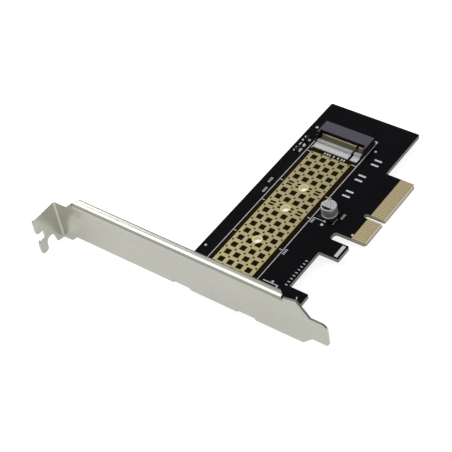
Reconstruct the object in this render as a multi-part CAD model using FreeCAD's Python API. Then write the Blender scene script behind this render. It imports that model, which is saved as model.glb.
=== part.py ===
"""Adapter card that carries a drive module in a desktop expansion slot.

Millimetres. While it is built, the card lies flat with the drive datum (the module's contact
edge) at x = 0, y = 0 and the board's component side at z = 0. X points away from the bracket,
Y toward the bracket's screw tab and Z up. At the end everything moves so that the origin is the
middle of the underside of the bounding box.
"""
import FreeCAD
import Part
import math
import os

# Board outline
board_thickness = 1.6
board_far_x = 15.2
board_upper_y = 16.9
board_lower_y = -22.9
board_corner_radius = 0.5

# Board tongue that enters the slot
contact_pitch = 1.0
contacts_short_group = 11
contacts_long_group = 21
contact_width = 0.7
contact_length = 5.0
contact_thickness = 0.04
contact_bevel_clearance = 0.2
key_centre_x = -31.2
key_width = 1.9
key_end_y = -27.4
tongue_tip_y = -35.5
tongue_edge_from_contact = 0.65
tongue_corner_chamfer = 0.8
tongue_bevel_length = 0.7
tongue_bevel_depth = 0.35

# Hook and foot beside the tongue
hook_slot_width = 3.65
hook_slot_end_y = -22.56
hook_slot_radius = 1.2
hook_width = 7.35
hook_tip_y = -31.0
foot_side_x = -73.0
foot_tip_y = -31.05

# Drive fixing holes
drive_hole_distances = (30.0, 42.0, 60.0, 80.0)
drive_hole_radius = 1.5
drive_ring_radius = 1.95
ring_rise = 0.06

# Gold pad field with its dark openings
field_rise = 0.04
field_first_row = 14.0
field_pitch = 4.0
field_rows = 18
field_columns = 4
field_square = 2.4
field_margin_x = 2.5
field_margin_y = 2.75
field_ring_clearance = 0.05
field_strip_width = 0.5
via_radius = 0.42

# Bracket sheet
sheet = 0.86
bend_inner_radius = 0.85
face_distance = 90.1
body_width = 18.42
seat_to_tip = 120.02
seat_y = 69.2
tongue_width = 10.19
tongue_corner_radius = 2.3
tongue_low_corner_radius = 1.4
neck_end_y = -40.0
neck_top_y = -39.2
neck_rise = 1.85
neck_rise_at_slit = 0.6
tab_step = 2.99
tab_step_y = 64.8
upper_step_lag = 1.7
flange_slit = 1.7
flange_slit_depth = 1.0
ear_slit = 0.3
flange_reach = 3.4
flange_bend_inner_radius = 1.3
flange_end_cut = 1.4
flange_low_y = -32.1
flange_high_y = 60.0

# Screw tab of the bracket
tab_reach = 11.8
tab_corner_radius = 1.3
tab_prong_radius = 1.9
tab_slot_width = 4.42
tab_slot_reach = 6.0
tab_slot_flare = 0.7
tab_slot_depth = 5.76
tab_notch_width = 3.2
tab_notch_depth = 3.5
tab_notch_level = 7.75
tab_prong_short = 0.75
tab_near_prong_short = 0.6

# Bracket ears under the board and their screws
ear_ys = (12.0, -16.2)
ear_width = 7.0
ear_reach = 12.2
ear_bend_inner_radius = 0.3
ear_tip_radius = 1.2
ear_hole_inset = 4.0
board_end_gap = 1.0
screw_radius = 1.5
screw_hole_clearance = 0.1
screw_past_ear = 1.2
screw_head_radius = 2.8
screw_head_height = 1.9
screw_head_edge = 0.5
recess_reach = 1.5
recess_width = 0.55
recess_depth = 1.0

# Drive socket
socket_length = 21.5
socket_height = 3.2
socket_rear_x = 2.7
socket_roof_front_x = -2.4
socket_cheek_front_x = -4.1
socket_lip_front_x = -6.3
socket_lip_rear_x = -5.2
socket_roof_thickness = 0.95
socket_lip_height = 0.8
socket_floor_height = 0.3
socket_cheek = 0.7
socket_back_wall = 1.5
key_rib_inset = 4.15
key_rib_width = 0.9
peg_radius = 0.55
peg_clearance = 0.05
peg_length = 1.2
peg_inset = 1.25
peg_x = 0.6

# Socket contacts
lead_pitch = 0.5
lead_width = 0.3
lead_thickness = 0.15
lead_end_inset = 1.5
lead_cheek_clearance = 0.12
lead_rib_clearance = 0.03
front_foot_reach = 2.9
front_blade_reach = 3.9
front_blade_rise = 0.95
front_blade_slope = 1.0
rear_foot_reach = 1.2
rear_blade_drop = 0.35
rear_blade_reach = 3.0
rear_blade_slope = 0.8
hold_down_width = 0.7
hold_down_reach = 1.4
hold_down_rise = 1.4
hold_down_thickness = 0.25
hold_down_overhang = 0.3

# Tinned pads under the soldered parts
pad_rise = 0.04
pad_overhang = 0.12
foot_pad_overhang = 0.2

# Capacitor
can_radius = 3.0
can_height = 4.65
can_edge_radius = 0.35
can_groove_level = 1.0
can_groove_depth = 0.18
can_centre_x = -37.2
can_centre_y = -16.4
base_side = 6.6
base_height = 0.65
base_chamfer = 1.3
base_dish = 0.25
terminal_width = 0.7
terminal_thickness = 0.2
terminal_length = 2.6
terminal_past_base = 0.45

# Small parts beside the socket
transistor_xs = (-6.95, -13.25)
transistor_y = 13.8
transistor_length = 2.9
transistor_width = 1.3
transistor_height = 0.95
transistor_standoff = 0.08
transistor_lead_spacing = 1.9
transistor_lead_width = 0.42
transistor_front_widths = (0.9, 1.8)
transistor_lead_reach = 0.55
transistor_lead_thickness = 0.13
chip_x = -10.4
chip_y = 13.8
chip_length = 2.0
chip_width = 1.25
chip_height = 0.5
chip_end_length = 0.4

# How far cutting tools run past what they cut
cut_past = 1.0

# Worked out from the sizes above
flange_bend_outer_radius = flange_bend_inner_radius + sheet
ear_bend_outer_radius = ear_bend_inner_radius + sheet
flange_slit_low_y = flange_low_y - flange_slit
face_outer_x = -face_distance
face_inner_x = face_outer_x + sheet
board_near_x = face_inner_x + board_end_gap
board_underside = -board_thickness
face_bottom = board_underside - sheet
face_top = face_bottom + body_width
bracket_middle = face_bottom + body_width / 2
tongue_low = bracket_middle - tongue_width / 2
tongue_high = bracket_middle + tongue_width / 2
bracket_tip_y = seat_y - seat_to_tip
tab_low = face_bottom - tab_step
tab_high = face_top - tab_step
key_half = key_width / 2
short_first_x = key_centre_x - 1.5 * contact_pitch
long_first_x = key_centre_x + 1.5 * contact_pitch
tongue_near_x = short_first_x - (contacts_short_group - 1) * contact_pitch - tongue_edge_from_contact
tongue_far_x = long_first_x + (contacts_long_group - 1) * contact_pitch + tongue_edge_from_contact
contact_low_y = tongue_tip_y + tongue_bevel_length + contact_bevel_clearance
hook_near_x = tongue_near_x - hook_slot_width - hook_width
hook_far_x = tongue_near_x - hook_slot_width
field_first_x = -field_first_row
pad_top = pad_rise
key_rib_y = key_rib_inset - socket_length / 2
lead_bottom = pad_top


def vector(x, y, z):
    return FreeCAD.Vector(x, y, z)


def box(x0, x1, y0, y1, z0, z1):
    """A block between pairs of coordinates."""
    return Part.makeBox(x1 - x0, y1 - y0, z1 - z0, vector(x0, y0, z0))


def rod(radius, x, y, z0, z1):
    """An upright cylinder."""
    return Part.makeCylinder(radius, z1 - z0, vector(x, y, z0))


def face_of(points):
    """A flat face through the points."""
    return Part.Face(Part.makePolygon(points + [points[0]]))


def prism(points, direction):
    """A solid swept from the face through the points."""
    return face_of(points).extrude(direction)


def flat_prism(pairs, z0, z1):
    """A solid with an outline in x and y."""
    return prism([vector(x, y, z0) for x, y in pairs], vector(0, 0, z1 - z0))


def joined(shapes):
    """One clean solid from touching shapes."""
    result = shapes[0]
    if len(shapes) > 1:
        result = result.fuse(shapes[1:])
    return result.removeSplitter()


def cut_all(shape, tools):
    """The shape with all the tools taken away."""
    if not tools:
        return shape
    return shape.cut(tools)


def round_edges(shape, radius, chosen):
    """Round the edges for which chosen(edge) holds."""
    edges = [edge for edge in shape.Edges if chosen(edge)]
    if not edges or radius <= 0:
        return shape
    return shape.makeFillet(radius, edges)


def upright_at(places, tolerance=0.01):
    """A test for straight edges along z through one of the x, y places."""
    def test(edge):
        a = edge.Vertexes[0].Point
        b = edge.Vertexes[-1].Point
        if math.hypot(a.x - b.x, a.y - b.y) > tolerance or abs(a.z - b.z) < tolerance:
            return False
        return any(math.hypot(a.x - x, a.y - y) < tolerance for x, y in places)
    return test


def along_x_at(places, tolerance=0.01):
    """A test for straight edges along x through one of the y, z places."""
    def test(edge):
        a = edge.Vertexes[0].Point
        b = edge.Vertexes[-1].Point
        if math.hypot(a.y - b.y, a.z - b.z) > tolerance or abs(a.x - b.x) < tolerance:
            return False
        return any(math.hypot(a.y - y, a.z - z) < tolerance for y, z in places)
    return test


def along_y_at(places, tolerance=0.01):
    """A test for straight edges along y through one of the x, z places."""
    def test(edge):
        a = edge.Vertexes[0].Point
        b = edge.Vertexes[-1].Point
        if math.hypot(a.x - b.x, a.z - b.z) > tolerance or abs(a.y - b.y) < tolerance:
            return False
        return any(math.hypot(a.x - x, a.z - z) < tolerance for x, z in places)
    return test


def drive_hole_xs():
    return [-distance for distance in drive_hole_distances]


def contact_xs():
    """Middle of every contact, from the key toward both ends of the tongue."""
    short = [short_first_x - i * contact_pitch for i in range(contacts_short_group)]
    long = [long_first_x + i * contact_pitch for i in range(contacts_long_group)]
    return short + long


def lead_ys():
    """Middle of every socket contact: as many as the length holds, with none at the key rib."""
    first = socket_length / 2 - lead_end_inset
    last = socket_cheek + lead_cheek_clearance + lead_width / 2 - socket_length / 2
    places = math.floor((first - last) / lead_pitch) + 1
    keep_off = (key_rib_width + lead_width) / 2 + lead_rib_clearance
    ys = [first - i * lead_pitch for i in range(places)]
    return [y for y in ys if abs(y - key_rib_y) > keep_off]


def ear_hole_x():
    return face_outer_x + ear_reach - ear_hole_inset


def peg_places():
    reach = socket_length / 2 - peg_inset
    return [(peg_x, reach), (peg_x, -reach)]


def board_outline():
    """Corners of the board, clockwise from the far upper corner."""
    return [
        (board_far_x, board_upper_y),
        (board_far_x, board_lower_y),
        (tongue_far_x, board_lower_y),
        (tongue_far_x, tongue_tip_y + tongue_corner_chamfer),
        (tongue_far_x - tongue_corner_chamfer, tongue_tip_y),
        (tongue_near_x + tongue_corner_chamfer, tongue_tip_y),
        (tongue_near_x, tongue_tip_y + tongue_corner_chamfer),
        (tongue_near_x, hook_slot_end_y),
        (hook_far_x, hook_slot_end_y),
        (hook_far_x, hook_tip_y),
        (hook_near_x, hook_tip_y),
        (hook_near_x, board_lower_y),
        (foot_side_x, board_lower_y),
        (foot_side_x, foot_tip_y),
        (board_near_x, foot_tip_y),
        (board_near_x, board_upper_y),
    ]


def rounded_board_corners():
    return [
        (board_far_x, board_upper_y),
        (board_far_x, board_lower_y),
        (hook_far_x, hook_tip_y),
        (hook_near_x, hook_tip_y),
        (hook_near_x, board_lower_y),
        (tongue_far_x, board_lower_y),
        (foot_side_x, board_lower_y),
        (foot_side_x, foot_tip_y),
    ]


def bevel_tool(side):
    """Wedge that bevels the tongue's tip on one side of the board."""
    level = 0.0 if side > 0 else board_underside
    slope = tongue_bevel_depth / tongue_bevel_length
    points = [
        vector(tongue_near_x - cut_past, tongue_tip_y + tongue_bevel_length, level),
        vector(tongue_near_x - cut_past, tongue_tip_y - cut_past,
               level - side * (tongue_bevel_length + cut_past) * slope),
        vector(tongue_near_x - cut_past, tongue_tip_y - cut_past, level + side * cut_past),
        vector(tongue_near_x - cut_past, tongue_tip_y + tongue_bevel_length, level + side * cut_past),
    ]
    return prism(points, vector(tongue_far_x - tongue_near_x + 2 * cut_past, 0, 0))


def make_circuit_board():
    board = flat_prism(board_outline(), board_underside, 0.0)
    board = round_edges(board, board_corner_radius, upright_at(rounded_board_corners()))
    slot_ends = [(tongue_near_x, hook_slot_end_y), (hook_far_x, hook_slot_end_y)]
    board = round_edges(board, hook_slot_radius, upright_at(slot_ends))
    tools = []
    tools.append(box(key_centre_x - key_half, key_centre_x + key_half,
                     tongue_tip_y - cut_past, key_end_y - key_half, board_underside - cut_past, cut_past))
    tools.append(rod(key_half, key_centre_x, key_end_y - key_half, board_underside - cut_past, cut_past))
    for x in drive_hole_xs():
        tools.append(rod(drive_hole_radius, x, 0.0, board_underside - cut_past, cut_past))
    for y in ear_ys:
        tools.append(rod(screw_radius + screw_hole_clearance, ear_hole_x(), y,
                         board_underside - cut_past, cut_past))
    for x, y in peg_places():
        tools.append(rod(peg_radius + peg_clearance, x, y, board_underside - cut_past, cut_past))
    tools.append(bevel_tool(1))
    tools.append(bevel_tool(-1))
    return [cut_all(board, tools)]


def make_edge_contacts(side):
    level = 0.0 if side > 0 else board_underside - contact_thickness
    half = contact_width / 2
    return [box(x - half, x + half, contact_low_y, contact_low_y + contact_length,
                level, level + contact_thickness)
            for x in contact_xs()]


def make_drive_hole_rings():
    """Gold ring pads around the drive holes, on both sides of the board."""
    rings = []
    for x in drive_hole_xs():
        hole = rod(drive_hole_radius, x, 0.0, board_underside - cut_past, cut_past)
        rings.append(rod(drive_ring_radius, x, 0.0, 0.0, ring_rise).cut(hole))
        rings.append(rod(drive_ring_radius, x, 0.0, board_underside - ring_rise, board_underside).cut(hole))
    return rings


def field_row_xs():
    return [field_first_x - i * field_pitch for i in range(field_rows)]


def field_column_ys():
    return [(i - (field_columns - 1) / 2) * field_pitch for i in range(field_columns)]


def dark_square(x, y):
    """Cutter for one dark square, split by a gold strip where a drive hole lies in its row."""
    half = field_square / 2
    strip_half = field_strip_width / 2
    keep_out = drive_ring_radius + field_ring_clearance
    square = box(x - half, x + half, y - half, y + half, -cut_past, field_rise + cut_past)
    for hole_x in drive_hole_xs():
        if math.hypot(hole_x - x, y) < keep_out + field_square:
            square = square.cut(rod(keep_out, hole_x, 0.0, -2 * cut_past, 2 * cut_past))
        if abs(hole_x - x) < strip_half:
            square = square.cut(box(x - strip_half, x + strip_half, y - field_square, y + field_square,
                                    -2 * cut_past, 2 * cut_past))
    return square


def via_places():
    """Middle of every via: between the squares and along the field's edges, clear of the drive holes."""
    half_pitch = field_pitch / 2
    xs = [field_first_x + half_pitch - i * field_pitch for i in range(field_rows + 1)]
    ys = [column_y - half_pitch for column_y in field_column_ys()]
    ys.append(ys[-1] + field_pitch)
    clear = drive_ring_radius + 2 * via_radius
    return [(x, y) for x in xs for y in ys
            if all(math.hypot(hole_x - x, y) > clear for hole_x in drive_hole_xs())]


def make_pad_field():
    rows = field_row_xs()
    columns = field_column_ys()
    field = box(rows[-1] - field_margin_x, rows[0] + field_margin_x,
                columns[0] - field_margin_y, columns[-1] + field_margin_y, 0.0, field_rise)
    squares = [dark_square(x, y) for x in rows for y in columns]
    rings = [rod(drive_ring_radius + field_ring_clearance, x, 0.0, -cut_past, cut_past)
             for x in drive_hole_xs()]
    vias = [rod(via_radius, x, y, -cut_past, cut_past) for x, y in via_places()]
    return [field.cut([square for square in squares if square.Solids] + rings + vias)]


def face_outline():
    """The bracket's flat face in y and z."""
    step_low_y = tab_step_y - tab_step
    fold_y = seat_y - bend_inner_radius
    top_step_low = tab_step_y - upper_step_lag - tab_step
    neck_foot_y = neck_end_y - (tongue_low - face_bottom)
    return [
        (bracket_tip_y, tongue_low),
        (neck_foot_y, tongue_low),
        (neck_end_y, face_bottom),
        (step_low_y, face_bottom),
        (tab_step_y, tab_low),
        (fold_y, tab_low),
        (fold_y, tab_high),
        (top_step_low + tab_step, tab_high),
        (top_step_low, face_top),
        (flange_slit_low_y, face_top),
        (flange_slit_low_y, face_top + neck_rise_at_slit),
        (neck_top_y, face_top + neck_rise),
        (neck_foot_y, tongue_high),
        (bracket_tip_y, tongue_high),
    ]


def bend_section(centre_a, centre_b, start_degrees, axis, inner=bend_inner_radius):
    """A quarter ring of sheet around a bend line, as a flat face."""
    outer = inner + sheet

    def spot(radius, degrees):
        turn = math.radians(degrees)
        a = centre_a + radius * math.cos(turn)
        b = centre_b + radius * math.sin(turn)
        return vector(a, 0, b) if axis == "y" else vector(a, b, 0)

    middle = start_degrees + 45.0
    end = start_degrees + 90.0
    edges = [
        Part.Arc(spot(outer, start_degrees), spot(outer, middle), spot(outer, end)).toShape(),
        Part.makeLine(spot(outer, end), spot(inner, end)),
        Part.Arc(spot(inner, end), spot(inner, middle), spot(inner, start_degrees)).toShape(),
        Part.makeLine(spot(inner, start_degrees), spot(outer, start_degrees)),
    ]
    return Part.Face(Part.Wire(edges))


def make_flange():
    """The stiffening flange along the upper edge, with its bend and slanted ends."""
    centre_x = face_outer_x + flange_bend_outer_radius
    centre_z = face_top - flange_bend_outer_radius
    bend = bend_section(centre_x, centre_z, 90.0, "y", flange_bend_inner_radius)
    bend.translate(vector(0, flange_low_y, 0))
    bend = bend.extrude(vector(0, flange_high_y - flange_low_y, 0))
    edge_x = face_outer_x + flange_reach
    plate = flat_prism([(centre_x, flange_low_y), (centre_x, flange_high_y),
                        (edge_x, flange_high_y - flange_end_cut), (edge_x, flange_low_y + flange_end_cut)],
                       face_top - sheet, face_top)
    return [bend, plate]


def make_ear(y):
    """An ear folded in from the lower edge, under the board."""
    centre_x = face_outer_x + ear_bend_outer_radius
    centre_z = face_bottom + ear_bend_outer_radius
    bend = bend_section(centre_x, centre_z, 180.0, "y", ear_bend_inner_radius)
    bend.translate(vector(0, y - ear_width / 2, 0))
    bend = bend.extrude(vector(0, ear_width, 0))
    tip_x = face_outer_x + ear_reach
    low = y - ear_width / 2
    high = y + ear_width / 2
    plate = box(centre_x, tip_x, low, high, face_bottom, face_bottom + sheet)
    plate = round_edges(plate, ear_tip_radius, upright_at([(tip_x, low), (tip_x, high)]))
    plate = plate.cut(rod(screw_radius, ear_hole_x(), y,
                          face_bottom - cut_past, face_bottom + sheet + cut_past))
    return [bend, plate]


def make_screw_tab():
    """The tab that sits on the case, with its screw slot and end notch."""
    centre_x = face_outer_x - bend_inner_radius
    centre_y = seat_y - bend_inner_radius
    bend = bend_section(centre_x, centre_y, 0.0, "z")
    bend.translate(vector(0, 0, tab_low))
    bend = bend.extrude(vector(0, 0, tab_high - tab_low))
    end_x = face_outer_x - tab_reach
    slot_x = face_outer_x - tab_slot_reach
    slot_half = tab_slot_width / 2
    prong_x = slot_x - slot_half
    prong_low = tab_low + tab_prong_short
    notch_low = tab_low + tab_notch_level
    near_low = tab_low + tab_near_prong_short
    outline = [
        (centre_x, tab_low),
        (slot_x + slot_half, near_low),
        (slot_x + slot_half, prong_low),
        (prong_x, prong_low),
        (end_x, prong_low),
        (end_x, tab_high),
        (centre_x, tab_high),
    ]
    plate = prism([vector(x, seat_y, z) for x, z in outline], vector(0, sheet, 0))

    slot_top = tab_low + tab_slot_depth - slot_half
    slot = box(prong_x, slot_x + slot_half, seat_y - cut_past, seat_y + sheet + cut_past,
               tab_low - cut_past, slot_top)
    slot_end = Part.makeCylinder(slot_half, sheet + 2 * cut_past,
                                 vector(slot_x, seat_y - cut_past, slot_top), vector(0, 1, 0))
    notch_high = notch_low + tab_notch_width
    notch = box(end_x - cut_past, end_x + tab_notch_depth, seat_y - cut_past, seat_y + sheet + cut_past,
                notch_low, notch_high)
    flare_x = slot_x + slot_half + tab_slot_flare
    flare_places = [(slot_x, slot_top), (slot_x + slot_half, slot_top), (flare_x, tab_low),
                    (flare_x, tab_low - cut_past), (slot_x, tab_low - cut_past)]
    flare = prism([vector(x, seat_y - cut_past, z) for x, z in flare_places],
                  vector(0, sheet + 2 * cut_past, 0))
    plate = plate.cut([slot, slot_end, flare, notch])
    corners = [(end_x, tab_high), (end_x, notch_high), (end_x, prong_low), (prong_x, prong_low)]
    plate = round_edges(plate, tab_corner_radius, along_y_at(corners))
    plate = round_edges(plate, tab_prong_radius, along_y_at([(end_x, notch_low)]))
    return [bend, plate]


def make_bracket():
    outline = face_outline()
    face = prism([vector(face_outer_x, y, z) for y, z in outline], vector(sheet, 0, 0))
    face = round_edges(face, tongue_corner_radius, along_x_at([(bracket_tip_y, tongue_high)]))
    face = round_edges(face, tongue_low_corner_radius, along_x_at([(bracket_tip_y, tongue_low)]))
    tools = []
    x0 = face_outer_x - cut_past
    x1 = face_inner_x + cut_past
    tools.append(box(x0, x1, flange_low_y, flange_high_y,
                     face_top - flange_bend_outer_radius, face_top + neck_rise + cut_past))
    tools.append(box(x0, x1, flange_slit_low_y, flange_low_y,
                     face_top - flange_slit_depth, face_top + neck_rise + cut_past))
    for y in ear_ys:
        tools.append(box(x0, x1, y - ear_width / 2 - ear_slit, y + ear_width / 2 + ear_slit,
                         face_bottom - cut_past, face_bottom + ear_bend_outer_radius))
    face = face.cut(tools)
    pieces = [face] + make_flange() + make_screw_tab()
    for y in ear_ys:
        pieces += make_ear(y)
    return [joined(pieces)]


def make_bracket_screws():
    screws = []
    for y in ear_ys:
        x = ear_hole_x()
        head = rod(screw_head_radius, x, y, 0.0, screw_head_height)
        head = round_edges(head, screw_head_edge, lambda edge: edge.Closed and
                           abs(edge.BoundBox.ZMin - screw_head_height) < 0.001 and edge.Length > 1.0)
        shank = rod(screw_radius, x, y, face_bottom - screw_past_ear, 0.0)
        screw = joined([head, shank])
        floor = screw_head_height - recess_depth
        half = recess_width / 2
        top = screw_head_height + cut_past
        cross = [box(x - recess_reach, x + recess_reach, y - half, y + half, floor, top),
                 box(x - half, x + half, y - recess_reach, y + recess_reach, floor, top)]
        screws.append(screw.cut(cross))
    return screws


def make_socket_housing():
    half = socket_length / 2
    roof_under = socket_height - socket_roof_thickness
    block = box(socket_roof_front_x, socket_rear_x, -half, half, lead_bottom, socket_height)
    lip = box(socket_lip_front_x, socket_lip_rear_x, -half, half, lead_bottom, socket_lip_height)
    floor = box(socket_lip_rear_x, socket_roof_front_x, -half, half, lead_bottom, socket_floor_height)
    cheeks = []
    for low in (-half, half - socket_cheek):
        high = low + socket_cheek
        cheeks.append(box(socket_cheek_front_x, socket_roof_front_x, low, high, lead_bottom, socket_height))
        cheeks.append(box(socket_lip_rear_x, socket_cheek_front_x, low, high, lead_bottom, roof_under))
    body = joined([block, lip, floor] + cheeks)
    inner_half = half - socket_cheek
    mouth = box(socket_roof_front_x, socket_rear_x - socket_back_wall, -inner_half, inner_half,
                socket_lip_height, roof_under)
    body = body.cut(mouth)
    rib_half = key_rib_width / 2
    rib = box(socket_lip_rear_x, socket_rear_x - socket_back_wall,
              key_rib_y - rib_half, key_rib_y + rib_half, socket_floor_height, socket_lip_height)
    rib = rib.fuse(box(socket_roof_front_x, socket_rear_x - socket_back_wall,
                       key_rib_y - rib_half, key_rib_y + rib_half, socket_lip_height, roof_under))
    pegs = [rod(peg_radius, x, y, -peg_length, lead_bottom) for x, y in peg_places()]
    return [joined([body, rib] + pegs)]


def front_contact(y):
    """A lower contact: a foot in front of the lip, a hoop over the lip and a blade that rises behind it."""
    foot_end = socket_lip_front_x - front_foot_reach
    blade_end = socket_lip_front_x + front_blade_reach
    top = socket_lip_height + lead_thickness
    low = socket_floor_height + lead_thickness
    points = [
        (foot_end, lead_bottom),
        (socket_lip_front_x, lead_bottom),
        (socket_lip_front_x, socket_lip_height),
        (socket_lip_rear_x, socket_lip_height),
        (socket_lip_rear_x, socket_floor_height),
        (blade_end - front_blade_slope, socket_floor_height),
        (blade_end, socket_floor_height + front_blade_rise),
        (blade_end, low + front_blade_rise),
        (blade_end - front_blade_slope, low),
        (socket_lip_rear_x + lead_thickness, low),
        (socket_lip_rear_x + lead_thickness, top),
        (socket_lip_front_x - lead_thickness, top),
        (socket_lip_front_x - lead_thickness, lead_bottom + lead_thickness),
        (foot_end, lead_bottom + lead_thickness),
    ]
    return prism([vector(x, y - lead_width / 2, z) for x, z in points], vector(0, lead_width, 0))


def rear_contact(y):
    """An upper contact under the roof, down the back of the housing to a foot on the board."""
    roof_under = socket_height - socket_roof_thickness
    back_x = socket_rear_x
    foot_end = back_x + rear_foot_reach
    tip_x = socket_rear_x - socket_back_wall - rear_blade_reach
    blade = [
        (socket_rear_x - socket_back_wall, roof_under),
        (tip_x + rear_blade_slope, roof_under),
        (tip_x, roof_under - rear_blade_drop),
        (tip_x, roof_under - rear_blade_drop - lead_thickness),
        (tip_x + rear_blade_slope, roof_under - lead_thickness),
        (socket_rear_x - socket_back_wall, roof_under - lead_thickness),
    ]
    tail = [
        (foot_end, lead_bottom),
        (back_x + lead_thickness, lead_bottom),
        (back_x, lead_bottom),
        (back_x, roof_under),
        (back_x + lead_thickness, roof_under),
        (back_x + lead_thickness, lead_bottom + lead_thickness),
        (foot_end, lead_bottom + lead_thickness),
    ]
    low = y - lead_width / 2
    sweep = vector(0, lead_width, 0)
    through = box(socket_rear_x - socket_back_wall, back_x, low, low + lead_width,
                  roof_under - lead_thickness, roof_under)
    return joined([prism([vector(x, low, z) for x, z in blade], sweep),
                   prism([vector(x, low, z) for x, z in tail], sweep), through])


def make_front_contacts():
    return [front_contact(y) for y in lead_ys()]


def make_rear_contacts():
    return [rear_contact(y) for y in lead_ys()]


def housing_with_passages(housing):
    """The housing with a passage for every upper contact through its back wall."""
    roof_under = socket_height - socket_roof_thickness
    passages = [box(socket_rear_x - socket_back_wall, socket_rear_x, y - lead_width / 2, y + lead_width / 2,
                    roof_under - lead_thickness, roof_under) for y in lead_ys()]
    return [housing[0].cut(passages)]


def make_hold_downs():
    """An angle of sheet on the back of the socket at each end, its foot soldered to the board."""
    outer = socket_length / 2 + hold_down_overhang
    foot_end = socket_rear_x + hold_down_reach
    step_x = socket_rear_x + hold_down_thickness
    points = [
        (socket_rear_x, lead_bottom),
        (foot_end, lead_bottom),
        (foot_end, lead_bottom + hold_down_thickness),
        (step_x, lead_bottom + hold_down_thickness),
        (step_x, lead_bottom + hold_down_rise),
        (socket_rear_x, lead_bottom + hold_down_rise),
    ]
    clips = []
    for low in (-outer, outer - hold_down_width):
        clips.append(prism([vector(x, low, z) for x, z in points], vector(0, hold_down_width, 0)))
    return clips


def make_capacitor_base():
    half = base_side / 2
    x0 = can_centre_x - half
    x1 = can_centre_x + half
    y0 = can_centre_y - half
    y1 = can_centre_y + half
    bottom = pad_top + terminal_thickness
    outline = [
        (x0, y0), (x1 - base_chamfer, y0), (x1, y0 + base_chamfer),
        (x1, y1 - base_chamfer), (x1 - base_chamfer, y1), (x0, y1),
    ]
    base = flat_prism(outline, bottom, bottom + base_height)
    dish = rod(can_radius, can_centre_x, can_centre_y,
               bottom + base_height - base_dish, bottom + base_height + cut_past)
    return [base.cut(dish)]


def can_seat():
    return pad_top + terminal_thickness + base_height - base_dish


def make_capacitor_can():
    z0 = can_seat()
    z1 = z0 + can_height
    can = rod(can_radius, can_centre_x, can_centre_y, z0, z1)
    can = round_edges(can, can_edge_radius,
                      lambda edge: edge.Closed and abs(edge.BoundBox.ZMin - z1) < 0.001 and edge.Length > 1.0)
    level = z0 + can_groove_level
    ring_radius = can_radius + can_groove_depth
    ring = Part.makeTorus(ring_radius, 2 * can_groove_depth, vector(can_centre_x, can_centre_y, level))
    return [can.cut(ring)]


def make_capacitor_terminals():
    half = base_side / 2
    terminals = []
    for side in (1, -1):
        outer = can_centre_x + side * (half + terminal_past_base)
        inner = outer - side * terminal_length
        terminals.append(box(min(inner, outer), max(inner, outer), can_centre_y - terminal_width / 2,
                             can_centre_y + terminal_width / 2, pad_top, pad_top + terminal_thickness))
    return terminals


def make_transistor_bodies():
    bodies = []
    for x in transistor_xs:
        half_x = transistor_length / 2
        half_y = transistor_width / 2
        z0 = pad_top + transistor_standoff
        bodies.append(box(x - half_x, x + half_x, transistor_y - half_y, transistor_y + half_y,
                          z0, z0 + transistor_height))
    return bodies


def transistor_lead_places(x, front_width):
    """Middle, side and width of each leg: two narrow ones behind and one in front."""
    half = transistor_lead_spacing / 2
    return [(x - half, 1, transistor_lead_width), (x + half, 1, transistor_lead_width),
            (x, -1, front_width)]


def make_transistor_leads():
    leads = []
    thickness = transistor_lead_thickness
    exit_level = pad_top + transistor_standoff + transistor_height / 2
    for body_x, front_width in zip(transistor_xs, transistor_front_widths):
        for x, side, width in transistor_lead_places(body_x, front_width):
            y0 = transistor_y + side * transistor_width / 2
            y1 = y0 + side * thickness
            y2 = y0 + side * transistor_lead_reach
            points = [(y0, exit_level), (y1, exit_level), (y1, pad_top + thickness),
                      (y2, pad_top + thickness), (y2, pad_top), (y0, pad_top)]
            x0 = x - width / 2
            leads.append(prism([vector(x0, y, z) for y, z in points], vector(width, 0, 0)))
    return leads


def make_chip_body():
    half_x = chip_width / 2
    half_y = chip_length / 2 - chip_end_length
    return [box(chip_x - half_x, chip_x + half_x, chip_y - half_y, chip_y + half_y,
                pad_top, pad_top + chip_height)]


def make_chip_ends():
    half_x = chip_width / 2
    ends = []
    for side in (1, -1):
        inner = chip_y + side * (chip_length / 2 - chip_end_length)
        outer = chip_y + side * chip_length / 2
        ends.append(box(chip_x - half_x, chip_x + half_x, min(inner, outer), max(inner, outer),
                        pad_top, pad_top + chip_height))
    return ends


def pad_under(x0, x1, y0, y1):
    """A tinned pad that stands out around the foot it carries."""
    past = foot_pad_overhang
    return box(x0 - past, x1 + past, y0 - past, y1 + past, 0.0, pad_rise)


def make_solder_pads():
    """Pads for the capacitor, the small parts and the socket's clips."""
    pads = []
    for foot in make_capacitor_terminals() + make_chip_ends() + make_hold_downs() + make_transistor_leads():
        span = foot.BoundBox
        pads.append(pad_under(span.XMin, span.XMax, span.YMin, span.YMax))
    return pads


def make_lead_pads():
    """One narrow pad under each socket contact's foot."""
    pads = []
    half = lead_width / 2
    for y in lead_ys():
        front = socket_lip_front_x - front_foot_reach
        pads.append(box(front - pad_overhang, socket_lip_front_x, y - half, y + half, 0.0, pad_rise))
        rear = socket_rear_x + rear_foot_reach
        pads.append(box(socket_rear_x, rear + pad_overhang, y - half, y + half, 0.0, pad_rise))
    return pads


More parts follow.
